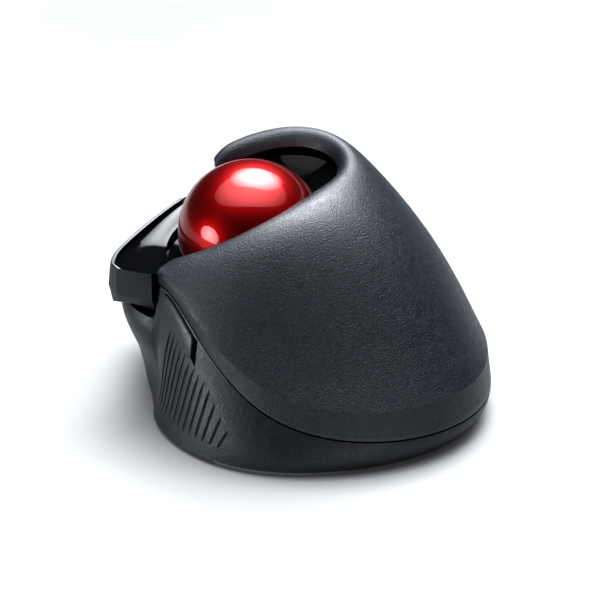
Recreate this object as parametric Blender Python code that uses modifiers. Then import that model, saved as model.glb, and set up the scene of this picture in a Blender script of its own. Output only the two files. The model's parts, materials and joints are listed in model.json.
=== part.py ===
"""Finger-operated trackball mouse: palm shell, base, buttons, ball, wheel and everything inside.

Lengths in the tables are millimetres about the ball's vertical axis, with z = 0 at the desk.
Every mesh is written in metres, moved so that the mouse stands centred on the origin.
Front is +Y (the end the fingers point to), +X is the right-hand side, +Z is up.
"""
import bpy
import bmesh
import numpy as np
from math import radians, sin, cos, pi, sqrt
from mathutils import Vector, Matrix

MM = 0.001
CENTRE_X = 2.472         # the body's middle, measured from the ball's axis
CENTRE_Y = -12.997
BALL_R = 17.0
BALL_Z = 38.0
CUP_IN = 17.8
CUP_OUT = 19.3
WALL = 1.8               # palm shell and base shell
SEAM_GAP = 0.45
FOOT_T = 0.8
PLATE_Z0 = 0.9
PLATE_Z1 = 2.9
BOARD_Z = 8.0
BOARD_T = 1.4
SKIRT_OUT = 14.0
SKIRT_IN = 12.6
EJECT_R = 6.0
WHEEL_X = 9.0
WHEEL_Y = 24.4
WHEEL_Z = 17.7
WHEEL_R = 8.0
CELL_R = 7.1             # one AA cell
CELL_L = 48.5
CELL_X = -3.2
CELL_Y = -31.5
CELL_Z = 11.2
SCREW_ANGLES = (32.0, 158.0, 206.0, 268.0, 318.0)
RIB_COUNT = 13

for old in list(bpy.data.objects):
    bpy.data.objects.remove(old, do_unlink=True)

parts = bpy.data.collections.new("trackball_mouse")
cutters = bpy.data.collections.new("cutters")
bpy.context.scene.collection.children.link(parts)
bpy.context.scene.collection.children.link(cutters)
cutters.hide_render = True

# name: base colour, metallic, roughness
MATERIALS = {
    "grained_black": ((0.020, 0.022, 0.026, 1), 0.0, 0.50),
    "satin_black": ((0.014, 0.016, 0.019, 1), 0.0, 0.42),
    "gloss_black": ((0.006, 0.007, 0.009, 1), 0.0, 0.08),
    "satin_slate": ((0.035, 0.042, 0.054, 1), 0.0, 0.34),
    "ball_red": ((0.45, 0.010, 0.014, 1), 0.25, 0.12),
    "cup_plastic": ((0.03, 0.03, 0.033, 1), 0.0, 0.5),
    "zirconia": ((0.86, 0.86, 0.84, 1), 0.0, 0.2),
    "clear_lens": ((0.80, 0.85, 0.90, 0.4), 0.0, 0.05),
    "chip_black": ((0.02, 0.02, 0.022, 1), 0.0, 0.45),
    "board_green": ((0.02, 0.16, 0.07, 1), 0.0, 0.4),
    "steel": ((0.62, 0.63, 0.65, 1), 1.0, 0.28),
    "cell_wrap": ((0.10, 0.11, 0.13, 1), 0.1, 0.35),
    "rubber": ((0.03, 0.03, 0.032, 1), 0.0, 0.8),
    "switch_black": ((0.025, 0.025, 0.028, 1), 0.0, 0.5),
    "foot_grey": ((0.20, 0.21, 0.22, 1), 0.0, 0.55),
}
made = {}


def material(name):
    if name not in made:
        colour, metallic, rough = MATERIALS[name]
        mat = bpy.data.materials.new(name)
        mat.use_nodes = True
        shader = mat.node_tree.nodes["Principled BSDF"]
        shader.inputs["Base Color"].default_value = colour
        shader.inputs["Metallic"].default_value = metallic
        shader.inputs["Roughness"].default_value = rough
        mat.diffuse_color = colour
        made[name] = mat
    return made[name]


def place(points, origin=(0.0, 0.0, 0.0)):
    """Millimetres about the ball's axis to metres about the object's own origin."""
    return (np.asarray(points, float) - np.asarray(origin, float)) * MM


def add(name, verts, faces, mat=None, origin=(0, 0, 0), smooth=40.0, group=None):
    """An object from vertices in millimetres, with its origin at `origin`."""
    mesh = bpy.data.meshes.new(name)
    mesh.from_pydata([tuple(p) for p in place(verts, origin)], [], faces)
    bm = bmesh.new()
    bm.from_mesh(mesh)
    bmesh.ops.recalc_face_normals(bm, faces=bm.faces[:])
    if bm.calc_volume(signed=True) < 0:
        bmesh.ops.reverse_faces(bm, faces=bm.faces[:])
    bm.to_mesh(mesh)
    bm.free()
    for face in mesh.polygons:
        face.use_smooth = smooth > 0
    if smooth > 0:
        mesh.set_sharp_from_angle(angle=radians(smooth))
    obj = bpy.data.objects.new(name, mesh)
    obj.location = Vector(((origin[0] + CENTRE_X) * MM, (origin[1] - CENTRE_Y) * MM, origin[2] * MM))
    if mat:
        mesh.materials.append(material(mat))
        (group or parts).objects.link(obj)
    else:
        cutters.objects.link(obj)
        obj.hide_render = True
        obj.display_type = 'WIRE'
    return obj


def loft(name, sections, mat=None, ring=False, strip_caps=False, **more):
    """A closed body through closed loops of equal length; `ring` joins the last to the first."""
    sections = [np.asarray(s, float) for s in sections]
    count, size = len(sections), len(sections[0])
    verts = np.concatenate(sections)
    faces = []
    for i in range(count if ring else count - 1):
        a, b = i * size, ((i + 1) % count) * size
        for j in range(size):
            k = (j + 1) % size
            faces.append((a + j, a + k, b + k, b + j))
    if not ring:
        for a in (0, (count - 1) * size):
            if strip_caps:
                for j in range(size // 2 - 1):
                    faces.append((a + j, a + j + 1, a + size - 2 - j, a + size - 1 - j))
            else:
                faces.append(tuple(a + j for j in range(size)))
    return add(name, verts, faces, mat, **more)


def lathe(name, profile, mat=None, steps=48, centre=(0, 0, 0), axis='Z', origin=None, smooth=40.0):
    """A closed (radius, height) outline turned about an axis through `centre`."""
    turn = {'Z': Matrix(), 'X': Matrix.Rotation(pi / 2, 4, 'Y'), 'Y': Matrix.Rotation(-pi / 2, 4, 'X')}[axis]
    rings = []
    for i in range(steps):
        a = 2 * pi * i / steps
        rings.append([turn @ Vector((r * cos(a), r * sin(a), h)) + Vector(centre) for r, h in profile])
    origin = centre if origin is None else origin
    return loft(name, rings, mat, ring=True, origin=origin, smooth=smooth)


def disc(name, radius, z0, z1, mat=None, steps=32, centre=(0, 0, 0), axis='Z', chamfer=0.0, origin=None):
    """A plain cylinder, its ends chamfered if asked, along an axis through `centre`."""
    turn = {'Z': Matrix(), 'X': Matrix.Rotation(pi / 2, 4, 'Y'), 'Y': Matrix.Rotation(-pi / 2, 4, 'X')}[axis]
    return rod(name, radius, z0, z1, turn, mat, steps, centre, chamfer, origin)


def rod(name, radius, z0, z1, turn, mat=None, steps=24, centre=(0, 0, 0), chamfer=0.0, origin=None):
    levels = [(radius, z0), (radius, z1)]
    if chamfer:
        levels = [(radius - chamfer, z0), (radius, z0 + chamfer), (radius, z1 - chamfer), (radius - chamfer, z1)]
    sections = []
    for r, h in levels:
        loop = [Vector((r * cos(2 * pi * i / steps), r * sin(2 * pi * i / steps), h)) for i in range(steps)]
        sections.append([turn @ p + Vector(centre) for p in loop])
    return loft(name, sections, mat, origin=centre if origin is None else origin)


def box(name, low, high, mat=None, bevel=0.0, turn=None, origin=None):
    """A box between two corners, optionally bevelled; `turn` is a 4x4 matrix applied last."""
    corners = [Vector((x, y, z)) for z in (low[2], high[2]) for x, y in
               ((low[0], low[1]), (high[0], low[1]), (high[0], high[1]), (low[0], high[1]))]
    if turn is not None:
        corners = [turn @ p for p in corners]
    centre = sum(corners, Vector()) / 8
    obj = loft(name, [corners[:4], corners[4:]], mat, origin=tuple(centre) if origin is None else origin,
               smooth=0.0)
    if bevel:
        mod = obj.modifiers.new("edges", 'BEVEL')
        mod.width = bevel * MM
        mod.segments = 1
        mod.limit_method = 'ANGLE'
    return obj


def boolean(target, tool, operation='DIFFERENCE'):
    mod = target.modifiers.new(tool.name, 'BOOLEAN')
    mod.operation = operation
    mod.solver = 'EXACT'
    mod.object = tool


def cut(target, *tools):
    for tool in tools:
        boolean(target, tool)


def join(target, *tools):
    for tool in tools:
        boolean(target, tool, 'UNION')


def ball(name, radius, centre, mat=None, segments=32, rings=16, origin=None):
    """A sphere of latitude rings with single points at its poles."""
    verts, faces = [(centre[0], centre[1], centre[2] - radius)], []
    for j in range(1, rings):
        b = -pi / 2 + pi * j / rings
        for i in range(segments):
            a = 2 * pi * i / segments
            verts.append((centre[0] + radius * cos(b) * cos(a), centre[1] + radius * cos(b) * sin(a),
                          centre[2] + radius * sin(b)))
    verts.append((centre[0], centre[1], centre[2] + radius))
    top = len(verts) - 1
    for i in range(segments):
        k = (i + 1) % segments
        faces.append((0, 1 + k, 1 + i))
        last = 1 + (rings - 2) * segments
        faces.append((last + i, last + k, top))
        for j in range(rings - 2):
            a = 1 + j * segments
            faces.append((a + i, a + k, a + segments + k, a + segments + i))
    return add(name, verts, faces, mat, origin=centre if origin is None else origin, smooth=60.0)


# ---------------------------------------------------------------- smooth surfaces

def spline(points, t, ring=False):
    """A uniform cubic B-spline through station space; its ends are reached unless it is a ring."""
    count = len(points)
    i = int(t) if ring else min(int(t), count - 2)
    u = t - i
    w = np.array([(1 - u) ** 3, 3 * u ** 3 - 6 * u * u + 4, -3 * u ** 3 + 3 * u * u + 3 * u + 1, u ** 3]) / 6
    if ring:
        picked = []
        for k in range(i - 1, i + 3):
            lap, base = divmod(k, count)
            p = np.array(points[base], float)
            p[..., 0] += 360.0 * lap
            picked.append(p)
    else:
        padded = np.concatenate([[2 * points[0] - points[1]], points, [2 * points[-1] - points[-2]]])
        picked = padded[i:i + 4]
    return sum(wk * pk for wk, pk in zip(w, picked))


def polar(points):
    """(angle in degrees, radius, height) to x, y, z."""
    points = np.asarray(points, float)
    a = np.radians(points[..., 0])
    return np.stack([points[..., 1] * np.cos(a), points[..., 1] * np.sin(a), points[..., 2]], -1)


def net(table):
    """Stations as (angle or one angle per point, [(radius, height), ...]) to an array."""
    rows = []
    for angle, points in table:
        angles = angle if isinstance(angle, (list, tuple)) else [angle] * len(points)
        rows.append([(a, r, z) for a, (r, z) in zip(angles, points)])
    return np.array(rows, float)


def profile(rows, t, samples, ring=False):
    line = spline(rows, t, ring)
    return np.array([spline(line, s) for s in samples])


def thicken(outer, thickness):
    """The same profile moved inwards, square to itself in its own upright plane."""
    d = np.gradient(outer[:, 1:], axis=0)
    d /= np.linalg.norm(d, axis=1)[:, None]
    inner = outer.copy()
    inner[:, 1] += d[:, 1] * thickness
    inner[:, 2] -= d[:, 0] * thickness
    return inner


# Palm shell: from the opening's edge over the rim and crest, down the slope to the crease and seam.
PALM = [
    (145.4, [(20.6, 36.9), (21.6, 38.2), (23.2, 38.4), (24.6, 38.0), (25.8, 37.4), (26.6, 36.8),
             (27.2, 36.0), (27.4, 35.2), (27.0, 33.6)]),
    (153, [(19.6, 38.0), (20.5, 39.7), (22.4, 40.2), (24.6, 39.6), (26.2, 38.6), (27.4, 37.5),
           (28.2, 36.6), (28.4, 35.8), (27.6, 34.0)]),
    (165, [(18.3, 40.2), (19.1, 41.9), (21.2, 42.5), (24.0, 41.4), (26.6, 39.0), (28.4, 36.8),
           (29.4, 35.2), (29.8, 34.0), (29.2, 31.2)]),
    (183, [(17.2, 43.4), (17.9, 45.3), (20.0, 45.9), (23.8, 43.8), (27.2, 39.4), (30.2, 34.6),
           (33.2, 29.0), (34.8, 26.4), (34.6, 22.2)]),
    (200, [(16.2, 45.9), (17.0, 48.0), (19.2, 48.9), (23.6, 46.6), (28.2, 40.4), (32.6, 32.6),
           (37.0, 24.2), (40.8, 18.4), (41.8, 12.6)]),
    (220, [(15.2, 47.6), (16.0, 50.0), (18.8, 51.4), (23.8, 49.0), (29.6, 41.8), (35.6, 32.2),
           (41.4, 22.4), (47.8, 14.4), (49.4, 8.2)]),
    (241, [(14.4, 49.0), (15.4, 51.4), (19.0, 53.0), (25.2, 50.4), (32.2, 43.2), (40.0, 33.4),
           (47.8, 23.0), (55.6, 13.8), (57.2, 7.0)]),
    (258, [(14.6, 49.8), (16.0, 52.2), (20.4, 53.8), (27.2, 50.4), (35.4, 43.2), (44.0, 33.4),
           (51.8, 23.0), (59.0, 13.6), (60.0, 6.6)]),
    (275, [(16.6, 50.2), (18.0, 52.6), (21.6, 54.0), (27.4, 50.6), (35.2, 43.6), (43.6, 33.8),
           (50.6, 23.0), (56.4, 13.6), (57.0, 6.6)]),
    (292, [(19.6, 50.6), (20.8, 53.0), (23.8, 54.2), (28.8, 50.8), (35.9, 44.0), (43.4, 34.0),
           (49.2, 23.2), (53.2, 13.6), (53.0, 6.6)]),
    (310, [(22.0, 51.2), (23.0, 53.6), (25.4, 54.9), (29.6, 51.6), (35.4, 44.2), (41.2, 34.2),
           (45.6, 23.4), (48.6, 13.8), (48.0, 6.8)]),
    (330, [(22.9, 51.6), (23.7, 54.2), (26.2, 55.7), (29.7, 52.4), (33.8, 44.6), (37.6, 34.2),
           (40.8, 23.4), (43.0, 14.0), (42.4, 7.0)]),
    (350, [(21.4, 51.2), (22.2, 53.8), (25.0, 55.7), (28.6, 52.6), (31.8, 44.8), (35.0, 34.2),
           (37.4, 23.4), (39.0, 14.2), (38.6, 7.2)]),
    ([370, 370, 370, 368, 366, 364, 362, 361, 360],
     [(19.8, 49.4), (20.8, 52.0), (23.6, 53.6), (27.4, 51.2), (30.8, 44.0), (33.8, 33.6),
      (36.0, 23.4), (37.4, 14.4), (37.2, 7.4)]),
    ([393, 393, 392, 388, 383, 377.6, 374.2, 372.4, 371.4],
     [(20.4, 46.0), (21.2, 49.0), (23.5, 50.5), (26.7, 48.4), (29.6, 41.9), (32.5, 32.9),
      (34.5, 23.0), (35.7, 14.4), (35.7, 7.6)]),
    ([399.0, 399.0, 398.6, 395, 388, 381.2, 376.2, 373.4, 372.2],
     [(20.8, 43.8), (21.5, 46.4), (23.3, 47.3), (26.0, 45.6), (28.6, 40.0), (31.8, 31.8),
      (34.2, 22.6), (35.5, 14.2), (35.5, 7.6)]),
]

# Base shell: from its top edge down to the edge beside the desk, all the way round.
BASE = [
    (30, [(33.6, 20.6), (33.8, 17), (33.6, 12), (33.0, 6), (31.0, 1.3)]),
    (45, [(32.8, 22.2), (33.6, 19), (33.6, 14), (32.6, 7), (30.2, 1.3)]),
    (53.4, [(31.9, 22.9), (32.9, 19.6), (32.9, 14), (31.9, 7), (29.5, 1.3)]),
    (54.3, [(31.8, 22.9), (32.8, 19.6), (32.8, 14), (31.8, 7), (29.4, 1.3)]),
    (55.2, [(30.6, 27.0), (32.2, 21), (32.7, 14.4), (31.7, 7.2), (29.35, 1.3)]),
    (56.1, [(30.5, 27.0), (32.1, 21), (32.6, 14.4), (31.6, 7.2), (29.3, 1.3)]),
    (66, [(27.6, 27.1), (30.8, 22), (31.4, 16), (30.4, 8), (28.4, 1.3)]),
    (80, [(26.2, 27.1), (30.0, 22), (30.2, 16), (29.0, 8), (27.0, 1.3)]),
    (95, [(27.2, 27.1), (29.8, 22.4), (29.2, 16), (27.6, 8), (25.9, 1.3)]),
    (110, [(29.4, 26.8), (30.8, 23), (29.2, 16), (26.6, 8), (25.5, 1.3)]),
    (120, [(30.8, 25.8), (31.8, 23), (29.4, 16), (25.8, 8.4), (25.4, 1.3)]),
    (132, [(30.0, 24.8), (31.4, 22), (28.8, 15), (25.0, 8), (26.2, 1.3)]),
    (141, [(28.6, 24.4), (30.0, 21.4), (28.4, 15), (25.8, 8), (28.2, 1.3)]),
    (144.2, [(28.1, 24.4), (29.4, 21.2), (28.6, 15), (26.4, 8), (29.4, 1.3)]),
    (145.6, [(27.0, 33.2), (28.2, 25), (28.8, 17), (26.8, 8.4), (30.0, 1.3)]),
    (148, [(27.2, 33.2), (28.6, 25.4), (29.4, 17), (28.0, 8.4), (31.0, 1.3)]),
    (153, [(27.6, 33.6), (29.2, 26), (30.4, 17), (30.6, 8.2), (32.8, 1.3)]),
    (165, [(29.2, 30.8), (31.2, 24), (33.2, 15.6), (34.8, 7.6), (36.6, 1.3)]),
    (183, [(34.6, 21.8), (37.0, 16), (39.4, 10.4), (41.2, 5.6), (42.0, 1.3)]),
    (200, [(41.8, 12.2), (43.6, 9.2), (45.2, 6.2), (46.3, 3.8), (46.4, 1.3)]),
    (220, [(49.4, 7.8), (50.3, 6.2), (50.9, 4.5), (51.0, 3.0), (50.0, 1.3)]),
    (241, [(57.2, 6.6), (57.6, 5.4), (57.5, 4.0), (56.9, 2.7), (55.8, 1.3)]),
    (258, [(60.0, 6.2), (60.2, 5.2), (59.9, 3.9), (59.0, 2.7), (57.9, 1.3)]),
    (275, [(57.0, 6.2), (57.0, 5.2), (56.5, 3.9), (55.6, 2.7), (54.4, 1.3)]),
    (292, [(53.0, 6.2), (52.8, 5.2), (52.2, 3.9), (51.2, 2.7), (50.0, 1.3)]),
    (310, [(48.0, 6.4), (47.8, 5.4), (47.2, 3.9), (46.2, 2.7), (45.0, 1.3)]),
    (330, [(42.4, 6.6), (42.2, 5.4), (41.6, 3.9), (40.6, 2.7), (39.4, 1.3)]),
    (350, [(38.6, 6.8), (38.4, 5.4), (38.0, 3.9), (37.2, 2.7), (36.2, 1.3)]),
    (367, [(36.9, 6.9), (36.8, 5.4), (36.2, 3.9), (35.2, 2.7), (34.2, 1.3)]),
    (372.8, [(35.9, 7.0), (35.9, 6.0), (35.5, 4.2), (34.7, 2.8), (33.3, 1.3)]),
    (373.4, [(35.8, 7.0), (35.8, 6.0), (35.4, 4.2), (34.6, 2.8), (33.2, 1.3)]),
    (376.0, [(34.4, 20.2), (35.0, 15), (35.0, 10), (34.2, 5), (32.6, 1.3)]),
    (380, [(34.2, 20.3), (34.6, 16), (34.6, 11), (34.0, 5.4), (31.8, 1.3)]),
]
palm_net = net(PALM)
base_net = net(BASE)
base_turns = np.array([spline(base_net, t, True)[0, 0] for t in np.linspace(0, len(BASE), 521)])


def base_point(angle, s, out=0.0):
    """A point on the base's outer face, `s` from 0 at the top edge to 4 at the bottom."""
    angle = angle if angle >= base_turns[0] else angle + 360.0
    angle = angle if angle <= base_turns[-1] else angle - 360.0
    t = np.interp(angle, base_turns, np.linspace(0, len(BASE), 521))
    point = spline(spline(base_net, min(t, len(BASE) - 1e-6), True), s)
    return np.array([angle, point[1] + out, point[2]])


def base_at_height(angle, z, out=0.0):
    """The base's outer face at a height."""
    line = np.array([base_point(angle, s) for s in np.linspace(0, 4, 33)])
    return np.array([angle, np.interp(-z, -line[:, 2], line[:, 1]) + out, z])


# ---------------------------------------------------------------- outer shells

palm_samples = [0, 0.5, 1, 1.5, 2, 2.6, 3.3, 4, 4.7, 5.4, 6, 6.6, 7.2, 7.6, 8]
sections = []
for t in np.linspace(0, len(PALM) - 1, (len(PALM) - 1) * 3 + 1):
    outer = profile(palm_net, t, palm_samples)
    inner = thicken(outer, WALL)
    inner[-1, 2] = outer[-1, 2]
    start = outer[0] + np.array([0, 0.7, -0.9])
    for i in range(4):
        inner[i] = start + (inner[4] - start) * i / 4
    sections.append(polar(np.concatenate([outer, inner[::-1]])))
palm = loft("palm_shell", sections, "grained_black", strip_caps=True, smooth=50.0)

# A wall inside the lip's front end.
last = len(PALM) - 1
sections = []
for t in (last - 1.0, last - 0.7):
    middle = thicken(profile(palm_net, t, palm_samples), WALL / 2)[3:10]
    foot = middle[-1] * (1, 0, 1) + (0, 22.4, 0)
    head = middle[0] * (1, 0, 1) + (0, 22.2, -2.6)
    sections.append(polar(np.concatenate([middle, [foot, head]])))
join(palm, loft("lip_wall", sections, smooth=0))

base_samples = [0, 0.5, 1.2, 2, 2.8, 3.5, 4]
seam = np.array([spline(palm_net, t)[-1] for t in np.linspace(0, len(PALM) - 1, 281)])
sections = []
for t in np.arange(0, len(BASE), 0.5):
    outer = profile(base_net, t, base_samples, True)
    if 146.5 < outer[0, 0] < 372.5:
        top = np.array([np.interp(outer[0, 0], seam[:, 0], seam[:, k]) for k in (1, 2)]) - (0, SEAM_GAP)
        shift = top - outer[0, 1:]
        outer[:3, 1:] += np.array([[1.0], [0.6], [0.2]]) * shift
    inner = thicken(outer, WALL)
    inner[0, 2] = outer[0, 2]
    inner[-1, 2] = outer[-1, 2]
    inner = inner[[0, 2, 4, 6]]
    sections.append(polar(np.concatenate([outer, inner[::-1]])))
base = loft("base_shell", sections, "satin_black", ring=True, smooth=50.0)

def screw_spot(angle):
    return polar([angle, base_point(angle, 4)[1] - WALL - 2.5, 0])


# A flange inside the front wall closes the view past the left button.
sections = []
for angle in np.linspace(59.5, 111.5, 14):
    low, high = base_at_height(angle, 26.2, -0.9), base_at_height(angle, 26.95, -0.9)
    sections.append(polar([(angle, 23.4, 26.2), low, high, (angle, 23.4, 26.95)]))
join(base, loft("front_flange", sections, smooth=0))

for number, angle in enumerate(SCREW_ANGLES):
    x, y, _ = screw_spot(angle)
    web = Matrix.Rotation(radians(angle), 4, 'Z')
    near, far = np.hypot(x, y), base_at_height(angle, 3.8)[1] - 0.8
    join(base, disc(f"boss_{number}", 2.4, 3.3, 6.0, centre=(x, y, 0), steps=20))
    join(base, box(f"boss_web_{number}", (near + 0.43, -0.9, 3.57), (far, 0.9, 5.13), turn=web))
for number, angle in enumerate(SCREW_ANGLES):
    x, y, _ = screw_spot(angle)
    cut(base, disc(f"boss_hole_{number}", 1.05, 2.0, 5.5, centre=(x, y, 0), steps=16))
    lathe(f"case_screw_{number + 1}",
          [(0.6, 1.0), (1.8, 1.0), (1.8, 2.0), (0.95, 2.0), (0.95, 5.2), (0.02, 5.2), (0.02, 1.6), (0.6, 1.6)],
          "steel", steps=12, centre=(x, y, 0))


# Grip grooves down the left wall.
verts, faces = [], []
for i in range(RIB_COUNT):
    top_angle, low_angle = 188.4 - 2.45 * i, 185.0 - 2.85 * i
    top_z, low_z = min(8.8 + 2.5 * i, 13.4 + 1.05 * i), max(4.4 - 0.12 * i, 3.2)
    steps, sides = 7, 6
    first = len(verts)
    for k in range(steps):
        u = k / (steps - 1)
        line = base_at_height(top_angle + (low_angle - top_angle) * u, top_z + (low_z - top_z) * u, 0.1)
        centre = polar(line)
        out = Vector((centre[0], centre[1], 0)).normalized()
        side = Vector((-out.y, out.x, 0))
        width = 0.42 if 0 < k < steps - 1 else 0.2
        for j in range(sides):
            a = 2 * pi * j / sides
            verts.append(tuple(Vector(centre) + side * width * cos(a) + out * width * 1.4 * sin(a)))
    for k in range(steps - 1):
        for j in range(sides):
            a, b = first + k * sides, first + (k + 1) * sides
            faces.append((a + j, a + (j + 1) % sides, b + (j + 1) % sides, b + j))
    faces.append(tuple(first + j for j in range(sides)))
    faces.append(tuple(first + (steps - 1) * sides + j for j in range(sides)))
cut(base, add("grip_grooves", verts, faces))

# Slot for the scroll wheel in the front wall.
cut(base, box("wheel_slot", (WHEEL_X - 3.7, 18.6, 9.1), (WHEEL_X + 3.7, 40, 25.95), bevel=0.8))
cut(base, box("carrier_pocket", (WHEEL_X - 5.37, 19.2, 11.83), (WHEEL_X + 5.37, WHEEL_Y + 2.03, 21.41)))


# ---------------------------------------------------------------- side button

def side_button_body(name, grow, mat=None):
    """A long sliver under the seam, narrow at its front end, wide at its rear."""
    rows = []
    for i in range(9):
        u = i / 8
        angle = 152.0 - grow * 0.9 + (20.0 + grow * 1.8) * u
        top = base_point(angle, 0.0)[2] - 1.0 + grow
        low = top - (2.2 + 2.6 * u) - 2 * grow
        rows.append(polar([base_at_height(angle, top, 0.5), base_at_height(angle, low, 0.5),
                           base_at_height(angle, low, -2.4), base_at_height(angle, top, -2.4)]))
    return loft(name, rows, mat, smooth=30.0)


side_button = side_button_body("side_button", 0.0, "satin_slate")
cut(base, side_button_body("side_button_slot", 0.35))

# ---------------------------------------------------------------- main buttons

LEFT_RIM = [
    ((-22.4, 17.0, 35.7), (-22.35, 25.2, 36.2)), ((-21.2, 16.5, 35.3), (-20.8, 27.2, 36.4)),
    ((-18.6, 15.2, 34.0), (-17.6, 28.0, 36.5)), ((-14.9, 13.4, 33.5), (-14.2, 28.2, 36.6)),
    ((-10.5, 16.8, 33.4), (-9.6, 27.7, 36.7)), ((-5.1, 19.1, 33.5), (-3.0, 26.5, 36.9)),
    ((0.0, 19.8, 34.1), (3.5, 25.0, 37.1)), ((5.1, 19.1, 34.8), (9.5, 23.4, 37.3)),
    ((10.3, 16.9, 35.5), (14.6, 21.8, 37.5))]


def left_section(k):
    inner, rim = (np.array(p, float) for p in LEFT_RIM[k])
    across = (rim - inner) * (1, 1, 0)
    length = np.linalg.norm(across)
    w = across / length
    rise = rim[2] - inner[2]
    front = 29.6 if k == 0 else 31.0
    under = 29.3 if k == 0 else (26.8 if k < 3 else 28.0)
    back = {0: 28.8, 1: 26.0, 2: 26.4}.get(k, inner[2] - 1.6)

    def at(point, z):
        return np.array([point[0], point[1], z])

    return [at(inner, back), inner, at(inner + w * length * 0.45, inner[2] + 0.12 * rise),
            at(inner + w * length * 0.80, inner[2] + 0.38 * rise), at(rim - w * 1.0, rim[2] - 0.1),
            at(rim - w * 0.3, rim[2]), at(rim + w * 0.05, rim[2] - 0.4),
            at(rim + w * (0.7 if k else 0.4), front), at(rim - w * 0.2, under), at(rim - w * 3.0, under),
            at(inner + w * length * 0.5, 30.0 if k > 2 else under)]


HINGE_Y = 12.0
HINGE_Z = 33.0
left_button = loft("left_button", [left_section(k) for k in range(len(LEFT_RIM))], "gloss_black",
                   origin=(-4.0, HINGE_Y, HINGE_Z), smooth=24.0)

join(left_button, disc("left_plunger", 1.1, 28.3, 31.3, centre=(-9.5, 19.8, 0), steps=12))

# Right button: from beside the ball out over the rim and down the front-right corner.
RIGHT = [
    ([42.0, 40.6, 37.6, 28.9, 23.3, 19.9, 17.9],
     [(21.1, 38.0), (23.0, 40.0), (25.2, 40.4), (28.0, 37.8), (31.2, 32.2), (34.3, 26.4), (34.4, 21.8)]),
    ([47.5, 47.0, 46.0, 42.5, 38.0, 35.0, 34.0],
     [(20.4, 35.0), (22.8, 37.0), (25.2, 38.6), (27.8, 37.0), (30.8, 32.4), (33.7, 26.8), (33.8, 22.6)]),
    ([54.2, 54.2, 54.3, 54.2, 53.8, 53.4, 53.2],
     [(20.2, 33.2), (23.2, 35.0), (26.2, 37.2), (27.8, 36.0), (29.6, 32.6), (31.8, 27.4), (32.0, 23.8)])]
right_net = net(RIGHT)
sections = []
for t in np.linspace(0, 2, 7):
    outer = profile(right_net, t, [0, 0.8, 1.5, 2, 2.5, 3.2, 4, 4.8, 5.4, 6])
    inner = thicken(outer, 1.6)
    inner[-1] = outer[-1] - np.array([0, 1.6, 0])
    inner[0] = outer[0] + np.array([0, 0.6, -1.7])
    sections.append(polar(np.concatenate([outer, inner[::-1]])))
right_button = loft("right_button", sections, "gloss_black", origin=(19.0, 11.0, 33.0), smooth=40.0)
join(right_button, disc("right_plunger", 1.1, 26.7, 37.4, centre=(20.8, 15.4, 0), steps=12))

# ---------------------------------------------------------------- ball, bezel and cup

trackball = ball("trackball", BALL_R, (0, 0, BALL_Z), "ball_red", segments=32, rings=20)

# The glossy ring round the ball: outer edge under the shell's opening, inner edge beside the ball.
BEZEL = [
    (20, (20.8, 45.8), (19.2, 44.0), 41.8), (36, (20.8, 42.2), (19.4, 40.0), 38.0),
    (50, (19.4, 34.0), (18.5, 33.2), 32.0), (70, (19.3, 32.2), (18.5, 31.8), 31.2),
    (95, (19.3, 32.0), (18.5, 31.7), 31.2), (120, (19.3, 32.0), (18.5, 31.8), 31.3),
    (138, (19.4, 32.8), (18.5, 32.5), 32.0), (150, (19.6, 34.6), (18.6, 34.4), 34.2),
    (165, (18.9, 37.0), (18.4, 36.6), 36.2), (183, (18.0, 40.4), (17.7, 39.6), 38.8),
    (200, (17.3, 43.0), (17.2, 41.8), 40.4), (220, (16.4, 44.8), (16.6, 43.4), 42.0),
    (241, (15.6, 46.4), (15.9, 45.2), 43.6), (258, (15.8, 47.2), (15.8, 45.9), 44.4),
    (275, (17.4, 47.6), (16.4, 46.2), 44.6), (292, (20.4, 48.2), (18.0, 46.4), 44.4),
    (310, (22.6, 48.8), (19.4, 46.6), 44.0), (330, (23.4, 49.2), (20.0, 46.6), 43.4),
    (350, (22.0, 48.6), (19.6, 46.2), 42.8), (368, (20.8, 47.4), (19.2, 45.4), 42.6)]
rows = []
for angle, outer, middle, low in BEZEL:
    low_r = sqrt((BALL_R + 0.6) ** 2 - (low - BALL_Z) ** 2)
    rows.append([(angle, outer[0], outer[1]), (angle, middle[0], middle[1]), (angle, low_r, low)])
bezel_net = np.array(rows, float)
sections = []
for t in np.arange(0, len(BEZEL), 1 / 2):
    outer = profile(bezel_net, t, [0, 0.5, 1, 1.5, 2], True)
    inner = outer.copy()
    inner[:, 2] -= 1.5
    inner[:, 1] += np.array([0.0, 0.1, 0.2, 0.4, 0.6])
    sections.append(polar(np.concatenate([outer, inner[::-1]])))
bezel = loft("ball_bezel", sections, "gloss_black", ring=True, smooth=60.0)


def on_sphere(radius, r_values):
    return [(r, BALL_Z - sqrt(radius ** 2 - r * r)) for r in r_values]


cup_profile = (on_sphere(CUP_IN, (6.2, 9.0, 11.8, 14.0, 15.45)) + [(17.15, 29.2)]
               + on_sphere(CUP_OUT, (15.7, 14.0)) + [(SKIRT_OUT, 3.3), (SKIRT_IN, 3.3)]
               + on_sphere(CUP_OUT, (12.6, 9.4, 6.2)))
cup = lathe("ball_cup", cup_profile, "cup_plastic", steps=36, smooth=40.0)


def aimed(azimuth, drop):
    """Rotation that takes +Z onto a direction from the ball's centre, `drop` degrees off straight down."""
    direction = Vector((sin(radians(drop)) * cos(radians(azimuth)), sin(radians(drop)) * sin(radians(azimuth)),
                        -cos(radians(drop))))
    return direction.to_track_quat('Z', 'Y').to_matrix().to_4x4(), direction


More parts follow.
